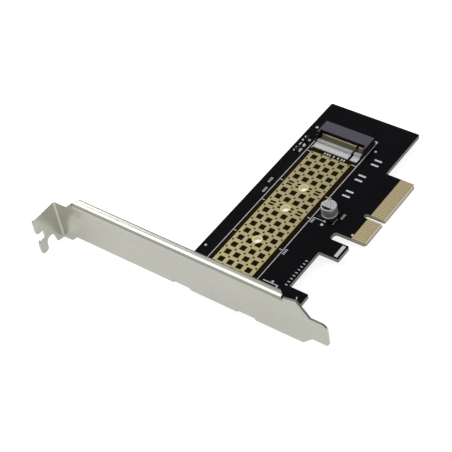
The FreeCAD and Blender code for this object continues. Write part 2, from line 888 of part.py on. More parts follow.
def make_everything():
    """Every node with its solids."""
    nodes = {}
    nodes["circuit_board"] = make_circuit_board()
    nodes["edge_contacts_upper"] = make_edge_contacts(1)
    nodes["edge_contacts_lower"] = make_edge_contacts(-1)
    nodes["drive_hole_rings"] = make_drive_hole_rings()
    nodes["pad_field"] = make_pad_field()
    nodes["bracket"] = make_bracket()
    nodes["bracket_screws"] = make_bracket_screws()
    nodes["socket_housing"] = housing_with_passages(make_socket_housing())
    nodes["socket_front_contacts"] = make_front_contacts()
    nodes["socket_rear_contacts"] = make_rear_contacts()
    nodes["socket_hold_downs"] = make_hold_downs()
    nodes["socket_lead_pads"] = make_lead_pads()
    nodes["solder_pads"] = make_solder_pads()
    nodes["capacitor_base"] = make_capacitor_base()
    nodes["capacitor_can"] = make_capacitor_can()
    nodes["capacitor_terminals"] = make_capacitor_terminals()
    nodes["transistor_bodies"] = make_transistor_bodies()
    nodes["transistor_leads"] = make_transistor_leads()
    nodes["chip_body"] = make_chip_body()
    nodes["chip_ends"] = make_chip_ends()
    return nodes


def main():
    os.makedirs("parts", exist_ok=True)
    nodes = make_everything()
    low_x = face_outer_x - tab_reach
    low_y = bracket_tip_y
    high_y = seat_y + sheet
    low_z = tab_low
    shift = vector(-(low_x + board_far_x) / 2, -(low_y + high_y) / 2, -low_z)
    for name, solids in nodes.items():
        flat = []
        for solid in solids:
            flat += solid.Solids
        shape = flat[0] if len(flat) == 1 else Part.makeCompound(flat)
        shape.translate(shift)
        shape.exportStep("parts/" + name + ".step")
        span = shape.BoundBox
        print(name, len(flat), "solids", shape.isValid(),
              "x %.2f..%.2f y %.2f..%.2f z %.2f..%.2f" % (span.XMin, span.XMax, span.YMin, span.YMax,
                                                         span.ZMin, span.ZMax))


main()
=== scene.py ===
"""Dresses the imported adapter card: finishes, white print, solder and the studio around it.

Everything is in metres in the row frame. Sizes in the classes are millimetres, and places on the
board are given in the card's own frame: x = 0, y = 0 where the drive's contact edge lies, z = 0 on
the component side of the board.
"""

import logging
import math
from dataclasses import dataclass, field, replace

import bpy
from mathutils import Matrix, Vector


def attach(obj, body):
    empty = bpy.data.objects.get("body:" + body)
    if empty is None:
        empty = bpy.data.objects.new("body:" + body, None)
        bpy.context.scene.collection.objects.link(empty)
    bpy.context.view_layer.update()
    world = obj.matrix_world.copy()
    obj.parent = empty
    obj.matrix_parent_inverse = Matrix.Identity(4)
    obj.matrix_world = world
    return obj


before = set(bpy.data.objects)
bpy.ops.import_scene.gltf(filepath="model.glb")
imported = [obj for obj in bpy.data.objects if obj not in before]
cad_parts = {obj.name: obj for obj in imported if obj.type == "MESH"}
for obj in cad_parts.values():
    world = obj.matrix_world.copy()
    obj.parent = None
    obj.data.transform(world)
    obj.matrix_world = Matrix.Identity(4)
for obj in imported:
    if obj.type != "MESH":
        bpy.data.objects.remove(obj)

LOG = logging.getLogger("adapter_card")
MM = 0.001
ROOT_BODY = "root"

# Where the card frame's zero point lies in the row frame
CARD_ZERO_MM = (43.35, -9.62, 5.45)

# Share of the noise's range that the colours and the gloss run over
GRAIN_LOW = 0.3
GRAIN_HIGH = 0.7

# How finely round shapes are divided
CORNER_STEPS = 3
DOT_POINTS = 24
SEGMENT_POINTS = 64
MOUND_SEGMENTS = 16
MOUND_RINGS = 12

# Points of a new piece that lie nearer to each other than this are merged
MERGE_MM = 0.0002

Socket = bpy.types.NodeSocket


def card_point(x: float, y: float, z: float) -> Vector:
    """Turn millimetres in the card frame into metres in the row frame.

    Args:
        x: Distance from the drive's contact edge, away from the bracket.
        y: Distance from the drive's centre line.
        z: Height above the component side.

    Returns:
        The point in the row frame.
    """
    return Vector((x + CARD_ZERO_MM[0], y + CARD_ZERO_MM[1], z + CARD_ZERO_MM[2])) * MM


def linear_colour(code: str) -> tuple[float, float, float, float]:
    """Turn an sRGB hex value into linear red, green, blue and alpha.

    Args:
        code: Six hex digits after a hash.

    Returns:
        Four linear values.
    """
    parts = [int(code[i:i + 2], 16) / 255 for i in (1, 3, 5)]
    parts = [c / 12.92 if c <= 0.04045 else ((c + 0.055) / 1.055) ** 2.4 for c in parts]
    return parts[0], parts[1], parts[2], 1.0


def add_node(tree: bpy.types.NodeTree, kind: str, settings: dict | None = None,
             inputs: dict | None = None) -> bpy.types.Node:
    """Add a node with its settings and what feeds it.

    Args:
        tree: The node tree to add to.
        kind: Blender's name of the node type.
        settings: Node properties by name.
        inputs: Values or output sockets by the input's name or number.

    Returns:
        The new node.
    """
    node = tree.nodes.new(kind)
    for key, value in (settings or {}).items():
        setattr(node, key, value)
    for key, value in (inputs or {}).items():
        if isinstance(value, Socket):
            tree.links.new(value, node.inputs[key])
        else:
            node.inputs[key].default_value = value
    return node


class Zones:
    """Masks of 0 and 1 over a surface, worked out from its place in the card frame."""

    def __init__(self, tree: bpy.types.NodeTree) -> None:
        """Start from the surface's place and facing.

        Args:
            tree: The node tree to build in.
        """
        self.tree = tree
        place = add_node(tree, "ShaderNodeTexCoord")
        sized = add_node(tree, "ShaderNodeVectorMath", {"operation": "SCALE"},
                         {0: place.outputs["Object"], "Scale": 1.0 / MM})
        self.point = add_node(tree, "ShaderNodeVectorMath", {"operation": "SUBTRACT"},
                              {0: sized.outputs["Vector"], 1: CARD_ZERO_MM}).outputs["Vector"]
        self.x, self.y, self.z = add_node(tree, "ShaderNodeSeparateXYZ", {}, {0: self.point}).outputs
        facing = add_node(tree, "ShaderNodeNewGeometry").outputs["True Normal"]
        self.normal_z = add_node(tree, "ShaderNodeSeparateXYZ", {}, {0: facing}).outputs["Z"]

    def below(self, value: Socket, limit: float) -> Socket:
        """Return 1 where the value is under the limit."""
        return add_node(self.tree, "ShaderNodeMath", {"operation": "LESS_THAN"},
                        {0: value, 1: limit}).outputs[0]

    def above(self, value: Socket, limit: float) -> Socket:
        """Return 1 where the value is over the limit."""
        return add_node(self.tree, "ShaderNodeMath", {"operation": "GREATER_THAN"},
                        {0: value, 1: limit}).outputs[0]

    def between(self, value: Socket, low: float, high: float) -> Socket:
        """Return 1 where the value is between the limits."""
        return self.both(self.above(value, low), self.below(value, high))

    def within(self, xs: tuple[float, float], ys: tuple[float, float]) -> Socket:
        """Return 1 inside a rectangle on the board."""
        return self.both(self.between(self.x, *xs), self.between(self.y, *ys))

    def both(self, first: Socket, second: Socket) -> Socket:
        """Return 1 where both masks are 1."""
        return add_node(self.tree, "ShaderNodeMath", {"operation": "MULTIPLY"},
                        {0: first, 1: second}).outputs[0]

    def either(self, first: Socket, second: Socket) -> Socket:
        """Return 1 where one of the masks is 1, and of two values the higher one."""
        return add_node(self.tree, "ShaderNodeMath", {"operation": "MAXIMUM"},
                        {0: first, 1: second}).outputs[0]

    def near_axis(self, x: float, y: float, radius: float) -> Socket:
        """Mark what lies within a radius of an upright axis.

        Args:
            x: The axis in the card frame.
            y: The axis in the card frame.
            radius: The radius in millimetres.

        Returns:
            1 within the radius.
        """
        flat = add_node(self.tree, "ShaderNodeVectorMath", {"operation": "MULTIPLY"},
                        {0: self.point, 1: (1.0, 1.0, 0.0)})
        away = add_node(self.tree, "ShaderNodeVectorMath", {"operation": "DISTANCE"},
                        {0: flat.outputs["Vector"], 1: (x, y, 0.0)})
        return self.below(away.outputs["Value"], radius)

    def paint(self, under: Socket, code: str, mask: Socket) -> Socket:
        """Lay a colour over another where the mask is 1.

        Args:
            under: The colour below.
            code: The colour above, sRGB hex.
            mask: Where it goes.

        Returns:
            The painted colour.
        """
        return add_node(self.tree, "ShaderNodeMix", {"data_type": "RGBA"},
                        {"Factor": mask, 6: under, 7: linear_colour(code)}).outputs[2]


@dataclass(frozen=True)
class Grain:
    """An uneven pattern of a real size.

    Attributes:
        size_mm: Size of one grain.
        stretch: How much the pattern is squeezed along x, y and z.
        detail: Noise octaves.
    """

    size_mm: float
    stretch: tuple[float, float, float] = (1.0, 1.0, 1.0)
    detail: float = 3.0

    def build(self, tree: bpy.types.NodeTree) -> Socket:
        """Build the pattern.

        Args:
            tree: The node tree to build in.

        Returns:
            Its value, around 0.5.
        """
        place = add_node(tree, "ShaderNodeTexCoord")
        turn = add_node(tree, "ShaderNodeMapping", {},
                        {"Vector": place.outputs["Object"], "Scale": self.stretch})
        noise = add_node(tree, "ShaderNodeTexNoise", {},
                         {"Vector": turn.outputs["Vector"], "Scale": 1.0 / (self.size_mm * MM),
                          "Detail": self.detail})
        return noise.outputs["Fac"]


@dataclass(frozen=True)
class Finish:
    """A surface finish: its colours, gloss and grain.

    Attributes:
        name: Common name of the material and how its surface was made.
        colour: Main colour, sRGB hex.
        second: Colour that the uneven pattern runs to, sRGB hex.
        metallic: 1 for metal.
        roughness: Mean roughness.
        spread: How far the grain moves the roughness each way.
        specular: Specular level of the surface.
        grain: Pattern of the colour and roughness.
        bump_grain: Pattern of the bump.
        bump_mm: Height of the bump.
    """

    name: str
    colour: str
    second: str
    metallic: float = 0.0
    roughness: float = 0.4
    spread: float = 0.05
    specular: float = 0.5
    grain: Grain = Grain(2.0)
    bump_grain: Grain = Grain(0.2)
    bump_mm: float = 0.002

    def build(self) -> bpy.types.Material:
        """Build the finish as a node material, once.

        Returns:
            The material.
        """
        made = bpy.data.materials.get(self.name)
        if made:
            return made
        made = bpy.data.materials.new(self.name)
        made.use_nodes = True
        tree = made.node_tree
        shader = tree.nodes["Principled BSDF"]
        shader.inputs["Metallic"].default_value = self.metallic
        shader.inputs["Specular IOR Level"].default_value = self.specular
        value = self.grain.build(tree)
        share = add_node(tree, "ShaderNodeMapRange", {},
                         {"Value": value, "From Min": GRAIN_LOW, "From Max": GRAIN_HIGH})
        mix = add_node(tree, "ShaderNodeMix", {"data_type": "RGBA"},
                       {"Factor": share.outputs["Result"], 6: linear_colour(self.colour),
                        7: linear_colour(self.second)})
        rough = add_node(tree, "ShaderNodeMapRange", {},
                         {"Value": value, "From Min": GRAIN_LOW, "From Max": GRAIN_HIGH,
                          "To Min": self.roughness - self.spread, "To Max": self.roughness + self.spread})
        tree.links.new(rough.outputs["Result"], shader.inputs["Roughness"])
        bump = add_node(tree, "ShaderNodeBump", {},
                        {"Strength": 1.0, "Distance": self.bump_mm * MM,
                         "Height": self.bump_grain.build(tree)})
        tree.links.new(bump.outputs["Normal"], shader.inputs["Normal"])
        colour = self.zoned(tree, shader, mix.outputs[2])
        tree.links.new(colour, shader.inputs["Base Color"])
        return made

    def zoned(self, tree: bpy.types.NodeTree, shader: bpy.types.Node, colour: Socket) -> Socket:
        """Lay zones over the colour. The plain finish has none.

        Args:
            tree: The node tree.
            shader: The surface's shader.
            colour: The colour so far.

        Returns:
            The colour with the zones.
        """
        return colour


@dataclass(frozen=True)
class MaskedBoard(Finish):
    """Gloss solder mask on glass-fibre laminate, bare on the cut edges and at the tongue's tip.

    Attributes:
        laminate: Colour of the cut edges.
        layer: Colour of the darker glass layers in the cut edges.
        layer_mm: Thickness of one glass layer.
        bare: Colour of the unmasked laminate between the edge contacts.
        bare_below_y: Where the mask ends on the tongue.
        bare_x: The tongue's two sides.
        under_field: Colour of the mask between the pads of the field, where the gold tints it.
        field_x: The field's two ends.
        field_y: The field's two sides.
        steep: Upright part of the normal below which a face counts as a cut edge.
        flat: Upright part of the normal from which a face of the tongue counts as uncut.
        routed: Colour of the tongue's bevel and of the cut walls beside it.
        plating: Colour of the plated walls of the drive holes.
        hole_xs: The drive holes.
        plating_radius: Radius that the walls' colour reaches.
    """

    laminate: str = "#c3c2b8"
    layer: str = "#a5a498"
    layer_mm: float = 0.2
    bare: str = "#a5966b"
    bare_below_y: float = -29.45
    bare_x: tuple[float, float] = (-43.5, -9.0)
    under_field: str = "#1f1400"
    field_x: tuple[float, float] = (-84.4, -9.4)
    field_y: tuple[float, float] = (-10.9, 10.7)
    steep: float = 0.4
    flat: float = 0.97
    routed: str = "#e3dac2"
    plating: str = "#efe6c0"
    hole_xs: tuple[float, ...] = (-30.0, -42.0, -60.0, -80.0)
    plating_radius: float = 1.56

    def zoned(self, tree: bpy.types.NodeTree, shader: bpy.types.Node, colour: Socket) -> Socket:
        """Lay the bare tongue, the cut edges and the plated walls over the mask's colour.

        Args:
            tree: The node tree.
            shader: The surface's shader, which turns metallic on the plated walls.
            colour: The mask's colour.

        Returns:
            The colour with the zones.
        """
        zones = Zones(tree)
        colour = zones.paint(colour, self.under_field, zones.within(self.field_x, self.field_y))
        bare = zones.both(zones.below(zones.y, self.bare_below_y), zones.between(zones.x, *self.bare_x))
        colour = zones.paint(colour, self.bare, bare)
        side = zones.between(zones.normal_z, -self.steep, self.steep)
        colour = zones.paint(colour, self.laminate, side)
        cut = zones.both(bare, zones.between(zones.normal_z, -self.flat, self.flat))
        colour = zones.paint(colour, self.routed, cut)
        layers = add_node(tree, "ShaderNodeMath", {"operation": "WRAP"},
                          {0: zones.z, 1: self.layer_mm, 2: 0.0}).outputs[0]
        layered = zones.both(side, zones.above(layers, self.layer_mm / 2))
        colour = zones.paint(colour, self.layer, layered)
        walls = zones.near_axis(self.hole_xs[0], 0.0, self.plating_radius)
        for x in self.hole_xs[1:]:
            walls = zones.either(walls, zones.near_axis(x, 0.0, self.plating_radius))
        tree.links.new(walls, shader.inputs["Metallic"])
        return zones.paint(colour, self.plating, walls)


@dataclass(frozen=True)
class TopLit(Finish):
    """A finish whose top face has another colour and spots than its sides; on the socket housing the
    lighter top is a painted highlight of the light from above.

    Attributes:
        top: Colour of what faces up, sRGB hex.
        speckle: Colour of the top's spots, sRGB hex.
        speckle_mm: Size of the spots.
        speckle_from: Value of the spots' pattern from which they show.
        above_z: The height in the card frame from which it counts, in millimetres.
        facing: Upright part of the normal from which a face counts as facing up.
    """

    top: str = "#ffffff"
    speckle: str = "#ffffff"
    speckle_mm: float = 0.5
    speckle_from: float = 0.55
    above_z: float = 0.0
    facing: float = 0.8

    def zoned(self, tree: bpy.types.NodeTree, shader: bpy.types.Node, colour: Socket) -> Socket:
        """Lay the top's colours over the rest.

        Args:
            tree: The node tree.
            shader: The surface's shader, left as it is.
            colour: The sides' colour.

        Returns:
            The colour with the top's.
        """
        zones = Zones(tree)
        # On the socket housing the top's colour is a painted highlight: the top painted lighter for the
        # light from above.
        up = zones.both(zones.above(zones.normal_z, self.facing), zones.above(zones.z, self.above_z))
        spots = zones.above(Grain(self.speckle_mm).build(tree), self.speckle_from)
        return zones.paint(zones.paint(colour, self.top, up), self.speckle, zones.both(up, spots))


@dataclass(frozen=True)
class ShearedSheet(Finish):
    """Plated sheet whose neck's upward faces and flange's far rim are painted a darker grey and made
    rougher than its faces.

    Attributes:
        edge: The darker grey painted on the neck's upward faces and the flange's rim, sRGB hex.
        edge_roughness: Their roughness.
        neck_below_y: Where the flange ends and the neck's own edge faces up.
        flange_z: Height over which the flange's flat lies.
        rim_from_x: Where the flange's darker rim starts.
        facing: Upright part of the normal from which a face counts as facing up.
    """

    edge: str = "#9b9b94"
    edge_roughness: float = 0.75
    neck_below_y: float = -33.4
    flange_z: float = 15.5
    rim_from_x: float = -87.1
    facing: float = 0.5

    def zoned(self, tree: bpy.types.NodeTree, shader: bpy.types.Node, colour: Socket) -> Socket:
        """Lay the edges' colour over the neck's upper edge and the flange's rim.

        Args:
            tree: The node tree.
            shader: The surface's shader, which gets the edges' roughness.
            colour: The faces' colour.

        Returns:
            The colour with the edges'.
        """
        zones = Zones(tree)
        up = zones.above(zones.normal_z, self.facing)
        # The neck's upward faces and the flange's far rim are painted a darker grey and made rougher.
        neck = zones.both(up, zones.below(zones.y, self.neck_below_y))
        rim = zones.both(zones.above(zones.z, self.flange_z), zones.above(zones.x, self.rim_from_x))
        edges = zones.either(neck, rim)
        dull = add_node(tree, "ShaderNodeMath", {"operation": "MULTIPLY"},
                        {0: edges, 1: self.edge_roughness})
        rough = shader.inputs["Roughness"].links[0].from_socket
        tree.links.new(zones.either(rough, dull.outputs[0]), shader.inputs["Roughness"])
        return zones.paint(colour, self.edge, edges)


@dataclass(frozen=True)
class HoopedLead(Finish):
    """Tin plate on a lead's foot and hoop that gives way to gold flash on the blade behind the lip; the
    blade's foot is painted dark as painted shade under the socket's roof.

    Attributes:
        hoop: Colour of the hoop over the lip, sRGB hex.
        blade: Colour of the blade's foot, which the mouth shades, sRGB hex.
        tip: Colour of the blade's rising end, sRGB hex.
        hoop_from_x: Where the hoop starts.
        blade_from_x: Where the blade starts.
        tip_from_z: Height from which the blade's end counts.
    """

    hoop: str = "#e4e5e3"
    blade: str = "#958f78"
    tip: str = "#eee2c8"
    hoop_from_x: float = -6.5
    blade_from_x: float = -5.12
    tip_from_z: float = 1.1

    def zoned(self, tree: bpy.types.NodeTree, shader: bpy.types.Node, colour: Socket) -> Socket:
        """Lay the hoop, the blade and its end over the foot's colour.

        Args:
            tree: The node tree.
            shader: The surface's shader, left as it is.
            colour: The foot's colour.

        Returns:
            The colour with the zones.
        """
        zones = Zones(tree)
        colour = zones.paint(colour, self.hoop, zones.above(zones.x, self.hoop_from_x))
        # The blade is painted dark as painted shade under the socket's roof, over its gold flash; the tip
        # above keeps the light gold.
        blade = zones.above(zones.x, self.blade_from_x)
        colour = zones.paint(colour, self.blade, blade)
        return zones.paint(colour, self.tip, zones.both(blade, zones.above(zones.z, self.tip_from_z)))


# Gloss epoxy solder mask: even, near black, a sharp but weak sheen
BOARD = MaskedBoard("gloss_black_solder_mask", "#0d0d10", "#101013", roughness=0.22, specular=0.04,
                    grain=Grain(9.0), bump_grain=Grain(1.2), bump_mm=0.003)
# Thin gold on etched copper: pale, satin, slightly cloudy
FIELD_GOLD = Finish("immersion_gold_on_copper", "#c5bb90", "#bab083",
                    metallic=1.0, roughness=0.42, spread=0.06,
                    grain=Grain(1.5), bump_grain=Grain(0.12), bump_mm=0.003)
# Hard gold plate, drawn smooth and wiped along the insertion direction
CONTACT_GOLD = Finish("hard_gold_plate", "#e3d3ad", "#d9c79c",
                      metallic=1.0, roughness=0.38, spread=0.06,
                      grain=Grain(0.8, (1.0, 0.1, 1.0)), bump_grain=Grain(0.1, (1.0, 0.05, 1.0)),
                      bump_mm=0.002)
# Thin gold on the ring pads, painted lighter than the same gold of the field around them as a painted
# highlight, since they catch the light a little more
RING_GOLD = Finish("gold_ring_pad", "#faeea0", "#f0e38f",
                   metallic=1.0, roughness=0.5,
                   grain=Grain(0.8), bump_grain=Grain(0.1), bump_mm=0.002)
# Cold-rolled steel sheet with a satin nickel plate: warm grey, soft reflections
BRACKET_STEEL = ShearedSheet("satin_nickel_on_rolled_steel", "#cfcfc5", "#cbcbc0",
                             metallic=1.0, roughness=0.27, spread=0.03,
                             grain=Grain(7.0, (1.0, 0.35, 1.0)), bump_grain=Grain(0.25, (1.0, 0.08, 1.0)),
                             bump_mm=0.0006)
# Nickel-plated machine screw: brighter and smoother than the sheet
SCREW_NICKEL = Finish("bright_nickel_screw", "#c3c4c4", "#b2b3b4",
                      metallic=1.0, roughness=0.25,
                      grain=Grain(0.7), bump_grain=Grain(0.15), bump_mm=0.002)
# Glass-filled polymer moulding: spark-textured top, painted lighter than the sides as a painted highlight
# of the light from above; smoother, darker sides
HOUSING = TopLit("moulded_socket_polymer", "#0b0a0d", "#0f0e12", roughness=0.5,
                 grain=Grain(1.5), bump_grain=Grain(0.08), bump_mm=0.004,
                 top="#4b4a57", speckle="#464452", speckle_mm=0.6, above_z=2.5)
# Bright tin on copper alloy
TIN = Finish("bright_tin_plate", "#eeefed", "#e0e1de", metallic=1.0, roughness=0.5, spread=0.06,
             grain=Grain(0.5), bump_grain=Grain(0.15), bump_mm=0.004)
# Satin tin on the socket's lower contacts, their blades flashed with gold and their feet painted dark,
# painted shade under the socket's roof
LEAD_TIN = HoopedLead("tinned_spring_contact", "#f8f9f8", "#eeefee",
                      metallic=1.0, roughness=0.8, spread=0.06,
                      grain=Grain(0.5), bump_grain=Grain(0.15), bump_mm=0.004)
# Lead-free solder, cooled satin: nearly white, softly mottled
SOLDER = Finish("satin_solder", "#f8f9f8", "#ecedec", metallic=1.0, roughness=0.8, spread=0.08,
                grain=Grain(0.4), bump_grain=Grain(0.2), bump_mm=0.008)
# Gold flash on phosphor bronze: creamier than the board's gold
SPRING_GOLD = Finish("gold_flash_on_bronze", "#d6c7ac", "#c7b696",
                     metallic=1.0, roughness=0.4,
                     grain=Grain(0.5), bump_grain=Grain(0.1), bump_mm=0.002)
# Drawn aluminium can, its end face lacquered and speckled
CAN = TopLit("drawn_aluminium_can", "#eceeef", "#c3c5c7", metallic=1.0, roughness=0.5, spread=0.06,
             grain=Grain(0.5, (1.0, 1.0, 0.2)), bump_grain=Grain(0.12, (1.0, 1.0, 0.1)), bump_mm=0.004,
             top="#e0e1df", speckle="#b0b1b0", speckle_mm=0.45, speckle_from=0.5, above_z=5.0)
# Printed ink: flat, matt, laid over metal or mask
BLACK_INK = Finish("black_marking_ink", "#09090a", "#0e0e10", roughness=0.55, specular=0.2,
                   grain=Grain(0.6), bump_grain=Grain(0.1), bump_mm=0.001)
WHITE_INK = Finish("white_screen_ink", "#dfdfe6", "#cfcfd8", roughness=0.6, specular=0.2,
                   grain=Grain(0.5), bump_grain=Grain(0.12), bump_mm=0.002)
# A thin coat of ink on the can, which the metal below it greys
GREY_INK = Finish("thin_marking_ink", "#6a6b6c", "#7c7d7e", roughness=0.55, specular=0.2,
                  grain=Grain(0.3), bump_grain=Grain(0.1), bump_mm=0.001)
# Phenolic base plate, epoxy mould compound and sintered ceramic: all dull and dark
BASE = Finish("black_phenolic_base", "#070708", "#0b0b0c", roughness=0.5, specular=0.2,
              grain=Grain(0.8), bump_grain=Grain(0.1), bump_mm=0.002)
EPOXY = Finish("epoxy_mould_compound", "#0a0a0b", "#101012", roughness=0.6, specular=0.2,
               grain=Grain(0.4), bump_grain=Grain(0.06), bump_mm=0.003)
CERAMIC = Finish("sintered_chip_ceramic", "#141415", "#1a1a1c", roughness=0.5, specular=0.2,
                 grain=Grain(0.3), bump_grain=Grain(0.06), bump_mm=0.002)


def leave_nothing_selected() -> None:
    """Leave edit mode and deselect everything."""
    if bpy.context.object and bpy.context.object.mode != "OBJECT":
        bpy.ops.object.mode_set(mode="OBJECT")
    bpy.ops.object.select_all(action="DESELECT")


def finish_piece(piece: bpy.types.Object, name: str, finish: Finish) -> None:
    """Put a piece's place into its mesh, give it its finish and let it ride on the card.

    Args:
        piece: The modelled object.
        name: Its name.
        finish: Its finish.
    """
    leave_nothing_selected()
    piece.select_set(True)
    bpy.context.view_layer.objects.active = piece
    bpy.ops.object.transform_apply(location=True, rotation=True, scale=True)
    bpy.ops.object.mode_set(mode="EDIT")
    bpy.ops.mesh.select_all(action="SELECT")
    bpy.ops.mesh.remove_doubles(threshold=MERGE_MM * MM)
    bpy.ops.mesh.normals_make_consistent(inside=False)
    bpy.ops.object.mode_set(mode="OBJECT")
    piece.name = name
    piece.data.name = name
    piece.data.materials.clear()
    piece.data.materials.append(finish.build())
    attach(piece, ROOT_BODY)
    LOG.info("%s: %d faces", name, len(piece.data.polygons))


def joined_pieces(parts: list[bpy.types.Object]) -> bpy.types.Object:
    """Join objects into the first one.

    Args:
        parts: The objects.

    Returns:
        The joined object.
    """
    leave_nothing_selected()
    for part in parts:
        part.select_set(True)
    bpy.context.view_layer.objects.active = parts[0]
    bpy.ops.object.transform_apply(location=True, rotation=True, scale=True)
    bpy.ops.object.join()
    return parts[0]


def copied(first: bpy.types.Object, place: Vector) -> bpy.types.Object:
    """Copy a modelled shape, with a mesh of its own, to another place.

    Args:
        first: The modelled shape.
        place: The copy's place in the row frame.

    Returns:
        The copy.
    """
    copy = first.copy()
    copy.data = first.data.copy()
    copy.location = place
    bpy.context.scene.collection.objects.link(copy)
    return copy


@dataclass(frozen=True)
class Bar:
    """A flat printed bar with rounded corners.

    Attributes:
        x: Middle in the card frame.
        y: Middle in the card frame.
        length: Size along its own direction.
        width: Size across it.
        turn: Direction, degrees from the x axis.
        corner: Share of half the width that the corners are rounded by.
    """

    x: float
    y: float
    length: float
    width: float
    turn: float = 0.0
    corner: float = 0.5

    def at(self, x: float, y: float) -> "Bar":
        """Return the same bar at another place."""
        return replace(self, x=x, y=y)

    def model(self, level: float, thickness: float) -> bpy.types.Object:
        """Model the bar from a plane: bevelled corners, then drawn up.

        Args:
            level: Height of its underside in the card frame, mm.
            thickness: Its thickness, mm.

        Returns:
            The object.
        """
        leave_nothing_selected()
        bpy.ops.mesh.primitive_plane_add(size=1.0, location=card_point(self.x, self.y, level),
                                         rotation=(0.0, 0.0, math.radians(self.turn)))
        bar = bpy.context.object
        bar.scale = (self.length * MM, self.width * MM, 1.0)
        bpy.ops.object.transform_apply(location=False, rotation=False, scale=True)
        bpy.ops.object.mode_set(mode="EDIT")
        bpy.ops.mesh.select_all(action="SELECT")
        short = min(self.length, self.width)
        bpy.ops.mesh.bevel(offset=self.corner * short * MM / 2, segments=CORNER_STEPS, affect="VERTICES")
        bpy.ops.mesh.select_all(action="SELECT")
        bpy.ops.mesh.extrude_region_move(TRANSFORM_OT_translate={"value": (0.0, 0.0, thickness * MM)})
        bpy.ops.object.mode_set(mode="OBJECT")
        return bar


@dataclass(frozen=True)
class Dot:
    """A flat printed dot.

    Attributes:
        x: Middle in the card frame.
        y: Middle in the card frame.
        radius: Its radius.
    """

    x: float
    y: float
    radius: float

    def at(self, x: float, y: float) -> "Dot":
        """Return the same dot at another place."""
        return replace(self, x=x, y=y)

    def model(self, level: float, thickness: float) -> bpy.types.Object:
        """Model the dot from a circle drawn up, with its rim softened.

        Args:
            level: Height of its underside in the card frame, mm.
            thickness: Its thickness, mm.

        Returns:
            The object.
        """
        leave_nothing_selected()
        bpy.ops.mesh.primitive_circle_add(vertices=DOT_POINTS, radius=self.radius * MM, fill_type="NGON",
                                          location=card_point(self.x, self.y, level))
        dot = bpy.context.object
        bpy.ops.object.mode_set(mode="EDIT")
        bpy.ops.mesh.select_all(action="SELECT")
        bpy.ops.mesh.extrude_region_move(TRANSFORM_OT_translate={"value": (0.0, 0.0, thickness * MM)})
        bpy.ops.mesh.inset(thickness=thickness * MM, depth=0.0)
        bpy.ops.object.mode_set(mode="OBJECT")
        return dot


@dataclass(frozen=True)
class Ink:
    """A coat of ink on one surface.

    Attributes:
        finish: The ink's finish.
        level: Height of the surface in the card frame.
        thickness: Thickness of the coat.
    """

    finish: Finish
    level: float
    thickness: float

    def lay(self, name: str, shapes: list[Bar] | list[Dot]) -> None:
        """Model shapes as one piece: each kind once, and copied to the places of its equals.

        Args:
            name: The piece's name.
            shapes: The shapes at their places.
        """
        kinds: dict[Bar | Dot, bpy.types.Object] = {}
        made = []
        for shape in shapes:
            kind = shape.at(0.0, 0.0)
            if kind in kinds:
                made.append(copied(kinds[kind], card_point(shape.x, shape.y, self.level)))
            else:
                kinds[kind] = shape.model(self.level, self.thickness)
                made.append(kinds[kind])
        finish_piece(joined_pieces(made), name, self.finish)


